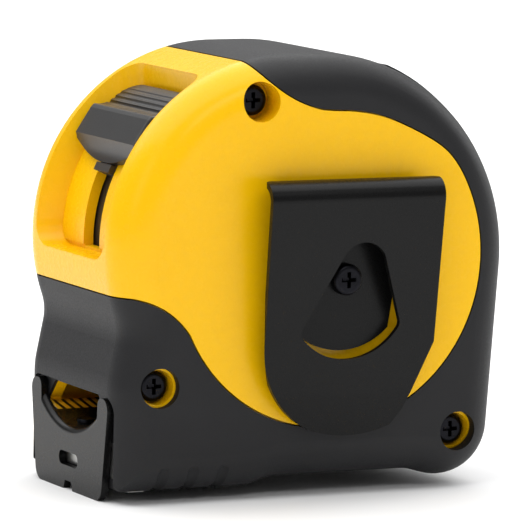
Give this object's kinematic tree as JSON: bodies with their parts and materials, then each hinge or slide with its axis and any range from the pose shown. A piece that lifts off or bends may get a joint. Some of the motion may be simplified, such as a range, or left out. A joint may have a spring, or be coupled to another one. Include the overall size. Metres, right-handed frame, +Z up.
{
  "type": "tape measure",
  "caption": "Pocket tape measure: a rounded two-half case with a rubber skin, a sprung drum of cupped tape, an end hook, a sliding thumb lock and a belt clip.",
  "frame": {"origin": "on the flat base panel between the front foot and the heel, under the drum axis, in the joint plane of the two case halves", "axes": "+X to the rear (the tape leaves towards -X), +Y away from the belt clip, +Z up"},
  "size_m": [0.0729, 0.0484, 0.0742],
  "materials": {
    "shell": "moulded ABS, gloss",
    "overmold": "matt rubber skin, fine grain",
    "drum": "moulded, plain",
    "tape": "enamelled steel tape",
    "spring": "blued spring steel",
    "steel": "plain steel",
    "hook": "black coated steel, satin",
    "button": "moulded ABS, satin black",
    "slider": "moulded, dark grey",
    "pad": "soft rubber",
    "clip": "black coated spring steel, satin",
    "screw": "black oxide steel",
    "washer": "low friction plastic"
  },
  "bodies": {
    "case": {"shell_clip_side": "shell", "shell_far_side": "shell", "overmold_clip_side": "overmold", "overmold_far_side": "overmold", "centre_post": "steel", "drum_washers": "washer", "power_spring": "spring", "lip_plate": "steel", "belt_clip": "clip", "clip_screw": "screw", "case_screws": "screw"},
    "drum": {"drum": "drum", "drum_cover": "drum", "tape_coil": "tape"},
    "tape": {"tape_leader": "tape"},
    "hook": {"end_hook": "hook", "hook_rivets": "steel"},
    "lock": {"lock_button": "button", "lock_slider": "slider", "brake_pad": "pad"}
  },
  "joints": [
    {"name": "drum_spin", "type": "hinge", "parent": "case", "child": "drum", "pos_m": [0, 0, 0.0338], "axis": [0, 1, 0], "range_deg": [0, 10417], "stiffness_Nm_per_rad": 0.00036, "springref_deg": -8766.25},
    {"name": "tape_slide", "type": "slide", "parent": "case", "child": "tape", "axis": [-1, 0, 0], "range_m": [0, 5], "deforming": ["tape_leader"]},
    {"name": "hook_play", "type": "slide", "parent": "tape", "child": "hook", "axis": [-1, 0, 0], "range_m": [0, 0.0012]},
    {"name": "lock_slide", "type": "hinge", "parent": "case", "child": "lock", "pos_m": [-0.0083, 0, 0.0388], "axis": [0, -1, 0], "range_deg": [0, 22]}
  ],
  "couplings": [
    {"joint": "tape_slide", "follows": "drum_spin", "m_per_rad": 0.0274}
  ]
}
